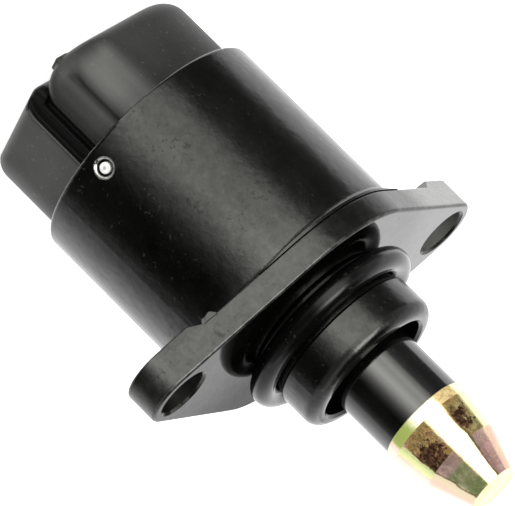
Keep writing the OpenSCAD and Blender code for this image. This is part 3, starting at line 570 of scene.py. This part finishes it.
MATS = {
    "cast_housing": mat_cast(),
    "ring_rubber": mat_nose_ring(),
    "cap_plastic": mat_cap(),
    "seal_rubber": mat_rubber("seal_rubber", (0.014, 0.014, 0.014), 0.35),
    "pin_steel": mat_pin(),
    "contact_tin": mat_metal("contact_tin", (0.66, 0.65, 0.62), (0.80, 0.79, 0.76), 0.22),
    "guide_plastic": mat_plastic("guide_plastic", (0.48, 0.42, 0.30), 0.38),
    "spring_steel": mat_metal("spring_steel", (0.30, 0.31, 0.33), (0.42, 0.43, 0.46), 0.26),
    "plate_steel": mat_metal("plate_steel", (0.52, 0.53, 0.52), (0.68, 0.68, 0.66), 0.28),
    "race_steel": mat_metal("race_steel", (0.60, 0.61, 0.62), (0.72, 0.73, 0.74), 0.14, turned=5000),
    "ball_steel": mat_metal("ball_steel", (0.76, 0.77, 0.78), (0.82, 0.83, 0.84), 0.05),
    "cage_brass": mat_metal("cage_brass", (0.58, 0.42, 0.16), (0.72, 0.54, 0.24), 0.26),
    "pole_iron": mat_metal("pole_iron", (0.42, 0.43, 0.44), (0.56, 0.57, 0.58), 0.32),
    "bobbin_plastic": mat_plastic("bobbin_plastic", (0.66, 0.62, 0.50), 0.40),
    "coil_copper": mat_copper(),
    "bush_bronze": mat_metal("bush_bronze", (0.42, 0.28, 0.12), (0.56, 0.40, 0.20), 0.36),
    "magnet_ferrite": mat_ferrite(),
    "hub_brass": mat_metal("hub_brass", (0.62, 0.48, 0.20), (0.76, 0.61, 0.30), 0.22, turned=4000),
    "screw_steel": mat_metal("screw_steel", (0.50, 0.51, 0.52), (0.64, 0.65, 0.66), 0.24, turned=4000),
    "sleeve_black": mat_sleeve(),
    "cone_plated": mat_cone(),
}
slot_of = {s["node"]: s["material_slot"] for s in frame["record"]["subparts"]}
for name, ob in N.items():
    mat = MATS[slot_of[name]]
    if not ob.material_slots:
        ob.data.materials.append(mat)
    for s in ob.material_slots:
        s.material = mat


# ---------------------------------------------------------------- pieces
def new_piece(name, bm, mat, body, smooth=True):
    me = bpy.data.meshes.new(name)
    bm.normal_update()
    bm.to_mesh(me)
    bm.free()
    for p in me.polygons:
        p.use_smooth = smooth
    ob = bpy.data.objects.new(name, me)
    bpy.context.scene.collection.objects.link(ob)
    me.materials.append(mat)
    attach(ob, body)
    return ob


def lathe(bm, prof, seg=128, closed=True):
    """surface of revolution about Z from (radius, z) points in metres"""
    rings = []
    for r, z in prof:
        rings.append([bm.verts.new((r * math.cos(2 * math.pi * i / seg), r * math.sin(2 * math.pi * i / seg), z)) for i in range(seg)])
    pairs = list(zip(rings, rings[1:])) + ([(rings[-1], rings[0])] if closed else [])
    for ra, rb in pairs:
        for i in range(seg):
            j = (i + 1) % seg
            bm.faces.new((ra[i], ra[j], rb[j], rb[i]))
    return rings


def winding(node):
    """coil wound in layers: the wire's turns show as ridges on its inner and outer faces"""
    lo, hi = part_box(node)
    z0, z1, ro, ri = lo[2], hi[2], hi[0], 0.00908
    turns = 11
    wire = (z1 - z0) / turns
    prof = []
    for k in range(turns):
        for j in range(6):
            f = (j + 0.5) / 6
            prof.append((ro - wire * 0.5 + wire * 0.5 * math.sin(math.pi * f) ** 0.6, z0 + wire * (k + f)))
    layers = 18
    step = (ro - ri - wire) / layers
    for k in range(layers):
        for j in range(4):
            f = (j + 0.5) / 4
            prof.append((ro - wire * 0.5 - step * (k + f), z1 - wire * 0.25 + wire * 0.25 * math.sin(math.pi * f)))
    for k in reversed(range(turns)):
        for j in reversed(range(6)):
            f = (j + 0.5) / 6
            prof.append((ri + wire * 0.5 - wire * 0.5 * math.sin(math.pi * f) ** 0.6, z0 + wire * (k + f)))
    for k in reversed(range(layers)):
        for j in reversed(range(4)):
            f = (j + 0.5) / 4
            prof.append((ro - wire * 0.5 - step * (k + f), z0 + wire * 0.25 - wire * 0.25 * math.sin(math.pi * f)))
    bm = bmesh.new()
    lathe(bm, prof, 160)
    bmesh.ops.recalc_face_normals(bm, faces=bm.faces)
    ob = new_piece(node + "_wound", bm, MATS["coil_copper"], "valve_body")
    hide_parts(node)
    return ob


def threaded_screw():
    """lead screw with its right-hand thread, in place of the plain crest cylinder"""
    src = N["lead_screw"].data
    bm = bmesh.new()
    bm.from_mesh(src)
    geom = bm.verts[:] + bm.edges[:] + bm.faces[:]
    bmesh.ops.remove_doubles(bm, verts=bm.verts, dist=1e-7)
    geom = bm.verts[:] + bm.edges[:] + bm.faces[:]
    cut = bmesh.ops.bisect_plane(bm, geom=geom, plane_co=(0, 0, -12.62 * MM), plane_no=(0, 0, 1), clear_inner=True)
    edges = [e for e in cut["geom_cut"] if isinstance(e, bmesh.types.BMEdge)]
    bmesh.ops.triangle_fill(bm, edges=edges, use_beauty=True)
    z0, z1, pitch, crest, root, seg = -22.9, -12.6, 1.0, 2.5, 2.14, 96
    nz = 240
    rows = []
    for k in range(nz + 1):
        z = z0 + (z1 - z0) * k / nz
        lead = min(1.0, (z - z0) / 0.7)
        row = []
        for i in range(seg):
            t = i / seg
            f = ((z - z0) / pitch - t) % 1.0
            h = min(1.0, max(0.0, (abs(2 * f - 1) - 0.16) / 0.66))
            h = h * h * (3 - 2 * h)
            r = root - 0.06 * (1 - lead) + (crest - root) * h * lead
            row.append(bm.verts.new((r * math.cos(2 * math.pi * t) * MM, r * math.sin(2 * math.pi * t) * MM, z * MM)))
        rows.append(row)
    for ra, rb in zip(rows, rows[1:]):
        for i in range(seg):
            j = (i + 1) % seg
            bm.faces.new((ra[i], ra[j], rb[j], rb[i]))
    bm.faces.new(list(reversed(rows[0])))
    bm.faces.new(rows[-1])
    bmesh.ops.recalc_face_normals(bm, faces=bm.faces)
    ob = new_piece("lead_screw_threaded", bm, MATS["screw_steel"], "pintle")
    for p in ob.data.polygons:
        p.use_smooth = len(p.vertices) == 4
    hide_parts("lead_screw")
    return ob


def flash_fin():
    """thin curved burr that the trimming left on the flange's rear edge"""
    a0, a1 = Vector((21.7, -7.36, -3.45)), Vector((19.5, -8.58, -3.45))
    side = Vector((0.484, -0.875, 0.0))
    bm = bmesh.new()
    rows = []
    n = 22
    for k in range(n + 1):
        s = k / n
        h = 0.95 * math.sin(math.pi * min(1.0, max(0.0, s))) ** 0.8 * (1.0 + 0.18 * math.sin(9.0 * s + 0.6)) + 0.05
        c = a0.lerp(a1, s) - side * (0.10 + 0.22 * math.sin(math.pi * s))
        t = 0.05 + 0.13 * math.sin(math.pi * s)
        sec = [(-t, 0.0), (-t * 0.9, -0.45 * h), (-t * 0.45, -0.86 * h), (0.0, -h), (t * 0.45, -0.90 * h), (t * 0.9, -0.5 * h), (t, 0.0)]
        rows.append([bm.verts.new((c + side * (o + 0.10 * h * (v / -h) ** 2 if h else o) + Vector((0, 0, v))) * MM) for o, v in sec])
    for ra, rb in zip(rows, rows[1:]):
        for i in range(len(ra)):
            j = (i + 1) % len(ra)
            bm.faces.new((ra[i], rb[i], rb[j], ra[j]))
    bm.faces.new(rows[0])
    bm.faces.new(list(reversed(rows[-1])))
    bmesh.ops.recalc_face_normals(bm, faces=bm.faces)
    return new_piece("flange_flash_fin", bm, MATS["cast_housing"], "valve_body")


def r_and(p, q, r):
    """both, with an edge rounded by r"""
    return np.minimum(-r, np.maximum(p, q)) + np.hypot(np.maximum(p + r, 0.0), np.maximum(q + r, 0.0))


def r_or(p, q, r):
    """either, with a fillet of r"""
    return np.maximum(r, np.minimum(p, q)) - np.hypot(np.maximum(r - p, 0.0), np.maximum(r - q, 0.0))


def cuboid(x, y, z, lo, hi):
    d = np.maximum(lo[0] - x, x - hi[0])
    d = np.maximum(d, np.maximum(lo[1] - y, y - hi[1]))
    return np.maximum(d, np.maximum(lo[2] - z, z - hi[2]))


def surface_net(f, org, h):
    """closed quad surface where f crosses zero on a regular grid"""
    sh = tuple(n - 1 for n in f.shape)
    acc = np.zeros(sh + (3,))
    num = np.zeros(sh)
    quads = []
    for ax in range(3):
        o1, o2 = (ax + 1) % 3, (ax + 2) % 3
        lo, hi = [slice(None)] * 3, [slice(None)] * 3
        lo[ax], hi[ax] = slice(0, -1), slice(1, None)
        fa, fb = f[tuple(lo)], f[tuple(hi)]
        I = np.argwhere((fa < 0) != (fb < 0))
        keep = (I[:, o1] > 0) & (I[:, o1] < f.shape[o1] - 1) & (I[:, o2] > 0) & (I[:, o2] < f.shape[o2] - 1)
        I = I[keep]
        va, vb = fa[tuple(I.T)], fb[tuple(I.T)]
        p = I.astype(float)
        p[:, ax] += va / (va - vb)
        cells = []
        for d1, d2 in ((0, 0), (-1, 0), (-1, -1), (0, -1)):
            C = I.copy()
            C[:, o1] += d1
            C[:, o2] += d2
            cells.append(C)
            np.add.at(acc, tuple(C.T), p)
            np.add.at(num, tuple(C.T), 1.0)
        quads.append((cells, va < 0))
    act = num > 0
    ids = np.full(sh, -1)
    ids[act] = np.arange(int(act.sum()))
    verts = np.asarray(org) + h * acc[act] / num[act][:, None]
    faces = []
    for cells, out in quads:
        q = np.stack([ids[tuple(C.T)] for C in cells], axis=1)
        q[~out] = q[~out][:, ::-1]
        faces.append(q)
    return verts, np.concatenate(faces)


def soft_cap():
    """moulded block of the cap with its soft edges, dished thumb recess and ribbed channel;
    the part inside the can is the same as the plain one"""
    h = 0.21
    x0, y0, z0, zt = -15.6, -13.1, -42.6, -30.12
    nx, ny, nz = int(31.2 / h) + 2, int(25.1 / h) + 2, int((zt - z0) / h) + 3
    x = (x0 + h * np.arange(nx))[:, None, None]
    y = (y0 + h * np.arange(ny))[None, :, None]
    z = (z0 + h * np.arange(nz))[None, None, :]
    x, y, z = np.broadcast_arrays(x, y, z)
    rad = np.hypot(x, y)
    # wall round the mouth
    d = r_and(np.abs(x) - 13.1, rad - 15.1, 0.9)
    d = r_and(d, y - 11.5, 0.9)
    d = r_and(d, r_and(-42.3 - z, -6.2 - y, 1.4), 2.0)
    # guide channel in the flat beside the thick side, with a deeper groove
    yz = np.minimum(np.maximum(np.maximum(-7.4 - y, y + 2.9), -39.4 - z), np.hypot(y + 5.5, z + 39.4) - 2.6)
    d = r_and(d, -np.maximum(12.2 - x, yz), 0.32)
    d = r_and(d, -cuboid(x, y, z, (11.2, -7.4, -39.9), (17, -4.7, -20)), 0.15)
    # thick side
    b = r_and(rad - 15.1, -12.6 - y, 3.0)
    b = r_and(b, r_and(-42.1 - z, y + 6.1, 4.0), 2.6)
    # dished recess
    cr = np.hypot(x - 9.14, y + 15.27)
    cap = np.where(z < -36.6, np.hypot(cr, z + 36.6), cr) - 4.8
    b = r_and(b, -cap, 0.35 + 2.2 * np.clip((-0.727 * x - 0.687 * y - 0.6) / 3.4, 0.0, 1.0))
    d = r_or(d, b, 0.25)
    # latch nose
    nose = cuboid(x, y, z, (8.0, -10.1, -42.3), (10.0, -8.1, -39.3))
    d = r_or(d, nose, 0.2)
    # socket with its lead-in
    qx, qy = np.abs(x) - 7.6, np.abs(y) - 2.7
    soc = np.hypot(np.maximum(qx, 0), np.maximum(qy, 0)) + np.minimum(np.maximum(qx, qy), 0) - 2.0
    d = r_and(d, -np.maximum(soc, z + 32.1), 0.5)
    # room for the contacts and for the screw's end
    for i in range(4):
        cx0 = (i - 1.5) * 4.0
        g = 0.06
        d = np.maximum(d, -cuboid(x, y, z, (cx0 - 1.15 - g, -0.32 - g, -33), (cx0 + 1.15 + g, 0.32 + g, -31.0)))
        d = np.maximum(d, -cuboid(x, y, z, (cx0 - 1.15 - g, -6.22 - g, -31.6 - g), (cx0 + 1.15 + g, 0.32 + g, -31.0 + g)))
        d = np.maximum(d, -cuboid(x, y, z, (cx0 - 0.5 - g, -6.22 - g, -31.6 - g), (cx0 + 0.5 + g, -5.58 + g, -25)))
    d = np.maximum(d, -np.maximum(rad - 3.0, -30.6 - z))
    d = np.maximum(d, z - zt)
    verts, faces = surface_net(d, (x0, y0, z0), h)
    bm = bmesh.new()
    bm.from_mesh(N["connector_cap"].data)
    bmesh.ops.remove_doubles(bm, verts=bm.verts, dist=1e-7)
    cut = bmesh.ops.bisect_plane(bm, geom=bm.verts[:] + bm.edges[:] + bm.faces[:], plane_co=(0, 0, -30.2 * MM),
                                 plane_no=(0, 0, 1), clear_inner=True)
    bmesh.ops.triangle_fill(bm, edges=[e for e in cut["geom_cut"] if isinstance(e, bmesh.types.BMEdge)], use_beauty=True)
    n0 = len(bm.faces)
    me = bpy.data.meshes.new("cap_soft")
    me.from_pydata((verts * MM).tolist(), [], faces.tolist())
    me.update()
    bm.from_mesh(me)
    bpy.data.meshes.remove(me)
    ob = new_piece("connector_cap_moulded", bm, MATS["cap_plastic"], "valve_body")
    for i, p in enumerate(ob.data.polygons):
        p.use_smooth = i >= n0
    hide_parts("connector_cap")
    return ob


winding("coil_front")
winding("coil_rear")
threaded_screw()
flash_fin()
soft_cap()


# ---------------------------------------------------------------- stage
def floor():
    bm = bmesh.new()
    z = BOX0[0][2] - 0.00002
    vs = [bm.verts.new((sx * 3.0, sy * 3.0, z)) for sx, sy in ((-1, -1), (1, -1), (1, 1), (-1, 1))]
    bm.faces.new(vs)
    me = bpy.data.meshes.new("floor")
    bm.to_mesh(me)
    bm.free()
    ob = bpy.data.objects.new("floor", me)
    bpy.context.scene.collection.objects.link(ob)
    m = Tree("pale_floor")
    n = m.noise(6, 3, 0.5)
    m.set(color=m.mix(n, (0.80, 0.80, 0.795), (0.84, 0.84, 0.835)), rough=0.9, spec=0.1)
    m.b.inputs["Emission Color"].default_value = (1.0, 1.0, 1.0, 1.0)
    m.b.inputs["Emission Strength"].default_value = 0.9
    me.materials.append(m.mat)
    ob.visible_glossy = False      # gloss sees the studio all round, as over a lit table
    return ob


floor()

# world: white seen directly; for reflections a studio that is white behind the
# object, with a soft frontal band and darker gaps beside it
world = bpy.data.worlds.new("studio")
bpy.context.scene.world = world
world.use_nodes = True
wt = world.node_tree
wt.nodes.clear()
wo = wt.nodes.new("ShaderNodeOutputWorld")


def wmath(op, x, y=0.0):
    n = wt.nodes.new("ShaderNodeMath")
    n.operation = op
    for i, v in enumerate((x, y)):
        if isinstance(v, bpy.types.NodeSocket):
            wt.links.new(v, n.inputs[i])
        else:
            n.inputs[i].default_value = v
    return n.outputs[0]


def wstep(v, lo, hi):
    """0 below lo, 1 above hi"""
    return wmath("MINIMUM", wmath("MAXIMUM", wmath("DIVIDE", wmath("SUBTRACT", v, lo), hi - lo), 0.0), 1.0)


tc = wt.nodes.new("ShaderNodeTexCoord")
sp = wt.nodes.new("ShaderNodeSeparateXYZ")
wt.links.new(tc.outputs["Generated"], sp.inputs[0])
# angle about the axis from the camera's side, positive towards the picture's upper right
cw = wmath("ADD", wmath("MULTIPLY", sp.outputs[0], W.x), wmath("MULTIPLY", sp.outputs[1], W.y))
cu = wmath("ADD", wmath("MULTIPLY", sp.outputs[0], U.x), wmath("MULTIPLY", sp.outputs[1], U.y))
ang = wmath("ARCTAN2", cu, cw)
fac = wmath("ADD", wmath("MULTIPLY", ang, 1.0 / (2 * math.pi)), 0.5)
TOP = 4.6


def panorama(stops):
    rp = wt.nodes.new("ShaderNodeValToRGB")
    rp.color_ramp.interpolation = "LINEAR"
    el = rp.color_ramp.elements
    el[0].position = 0.0
    el[1].position = 1.0
    for e, v in ((el[0], stops[0][1]), (el[1], stops[-1][1])):
        e.color = (v / TOP, v / TOP, v / TOP, 1)
    for d, v in stops[1:-1]:
        e = el.new(d / 360.0 + 0.5)
        warm = 0.94 if -60 < d < 60 else 1.0
        e.color = (v / TOP, v / TOP, v * warm / TOP, 1)
    wt.links.new(fac, rp.inputs["Fac"])
    return rp.outputs["Color"]


# at and below the object's level
low = panorama([(-180, 1.65), (-146, 1.60), (-124, 1.70), (-108, 1.30), (-95, 0.75), (-83, 0.18), (-72, 0.03), (-52, 0.01),
                (-43, 0.01), (-34, 0.16), (-25, 0.55), (-17, 1.2), (-8, 2.5), (0, 3.6), (8, 4.4), (17, 3.7), (25, 3.1), (34, 3.5),
                (43, 2.3), (50, 1.5), (55, 0.45), (63, 0.28), (72, 0.18), (83, 0.12), (95, 0.14), (108, 0.17), (115, 1.7), (180, 1.65)])
# above it: one hard-edged bright screen in front, grey beside it
high = panorama([(-180, 1.65), (-150, 1.35), (-120, 1.05), (-87, 0.95), (-80, 0.90), (-77, 0.38), (-40, 0.32), (-6, 0.36),
                 (-2, 0.45), (1, 2.6), (10, 3.2), (40, 3.0), (50, 2.7), (53, 0.36), (72, 0.34), (79, 0.50), (100, 0.52),
                 (108, 0.95), (130, 1.05), (150, 1.35), (180, 1.65)])
lift = wstep(sp.outputs[2], -0.10, 0.02)
pano = wt.nodes.new("ShaderNodeMix")
pano.data_type = "RGBA"
wt.links.new(lift, pano.inputs[0])
wt.links.new(low, pano.inputs[6])
wt.links.new(high, pano.inputs[7])
# a brighter strip high in front, and dark air right above
fr = wstep(cw, 0.0, 0.33)
strip = wmath("MULTIPLY", wmath("MULTIPLY", wstep(sp.outputs[2], 0.52, 0.60), fr), 1.6)
dim = wmath("MULTIPLY", wmath("ADD", 1.0, strip), wmath("SUBTRACT", 1.0, wmath("MULTIPLY", wstep(sp.outputs[2], 0.80, 0.90), 0.94)))
bg1 = wt.nodes.new("ShaderNodeBackground")
wt.links.new(wmath("MULTIPLY", dim, TOP), bg1.inputs["Strength"])
wt.links.new(pano.outputs[2], bg1.inputs["Color"])
bg2 = wt.nodes.new("ShaderNodeBackground")
bg2.inputs["Color"].default_value = (1, 1, 1, 1)
bg2.inputs["Strength"].default_value = 1.0
lp = wt.nodes.new("ShaderNodeLightPath")
mx = wt.nodes.new("ShaderNodeMixShader")
wt.links.new(lp.outputs["Is Camera Ray"], mx.inputs[0])
wt.links.new(bg1.outputs[0], mx.inputs[1])
wt.links.new(bg2.outputs[0], mx.inputs[2])
wt.links.new(mx.outputs[0], wo.inputs["Surface"])
